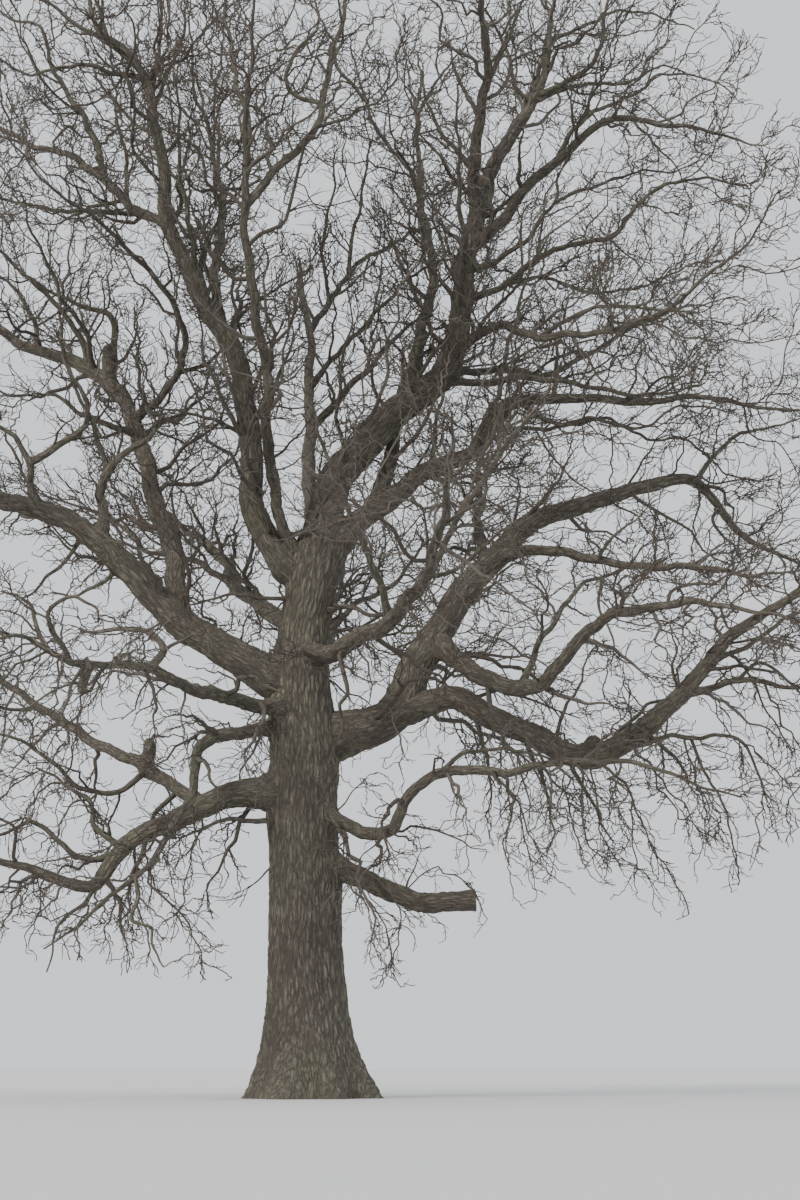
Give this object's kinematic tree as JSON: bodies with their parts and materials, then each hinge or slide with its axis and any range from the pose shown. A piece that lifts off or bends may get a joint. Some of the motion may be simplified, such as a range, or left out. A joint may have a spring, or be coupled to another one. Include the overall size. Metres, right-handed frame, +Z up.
{
  "type": "bare oak tree",
  "caption": "Large open-grown oak in winter, leafless: a flared trunk, wide crooked boughs, a sawn stub, a broken snag and masses of bare twigs.",
  "frame": {"origin": "on the flat cut at ground level under the trunk, at the middle of its foot", "axes": "+Z up the trunk, +X to the right and -Y towards the viewer as the tree is pictured"},
  "size_m": [20.7026, 19.063, 23.2132],
  "materials": {
    "bark": "deeply furrowed grey-brown bark with a faint green tint",
    "sawn_wood": "weathered grey-brown bark and a darkened sawn end",
    "dead_wood": "bare weathered wood, split along its grain",
    "twigs": "dull grey-brown twigs"
  },
  "bodies": {
    "root": {"trunk": "bark", "stub": "sawn_wood", "snag": "dead_wood", "bough_low_left": "bark", "bough_low_left_back": "bark", "bough_slender_right": "bark", "bough_mid_left": "bark", "bough_drooping": "bark", "bough_great_right": "bark", "bough_great_low_right": "bark", "bough_right_front": "bark", "bough_right_mid": "bark", "bough_right_back": "bark", "bough_front": "bark", "bough_great_left": "bark", "bough_left_upright": "bark", "bough_left_front": "bark", "bough_off_snag": "bark", "bough_high_back": "bark", "bough_high_front": "bark", "bough_top_right": "bark", "bough_upper_right": "bark", "bough_back": "bark", "bough_back_left": "bark", "leader_left": "bark", "leader_left_inner": "bark", "leader_left_outer": "bark", "leader_mid": "bark", "leader_right": "bark", "leader_right_front": "bark", "leader_right_back": "bark", "twigs_low_left": "twigs", "twigs_low_left_back": "twigs", "twigs_slender_right": "twigs", "twigs_mid_left": "twigs", "twigs_drooping": "twigs", "twigs_great_right": "twigs", "twigs_great_low_right": "twigs", "twigs_right_front": "twigs", "twigs_right_mid": "twigs", "twigs_right_back": "twigs", "twigs_front": "twigs", "twigs_great_left": "twigs", "twigs_left_upright": "twigs", "twigs_left_front": "twigs", "twigs_off_snag": "twigs", "twigs_high_back": "twigs", "twigs_high_front": "twigs", "twigs_top_right": "twigs", "twigs_upper_right": "twigs", "twigs_back": "twigs", "twigs_back_left": "twigs", "twigs_leader_left": "twigs", "twigs_leader_left_inner": "twigs", "twigs_leader_left_outer": "twigs", "twigs_leader_mid": "twigs", "twigs_leader_right": "twigs", "twigs_leader_right_front": "twigs", "twigs_leader_right_back": "twigs"}
  },
  "joints": []
}
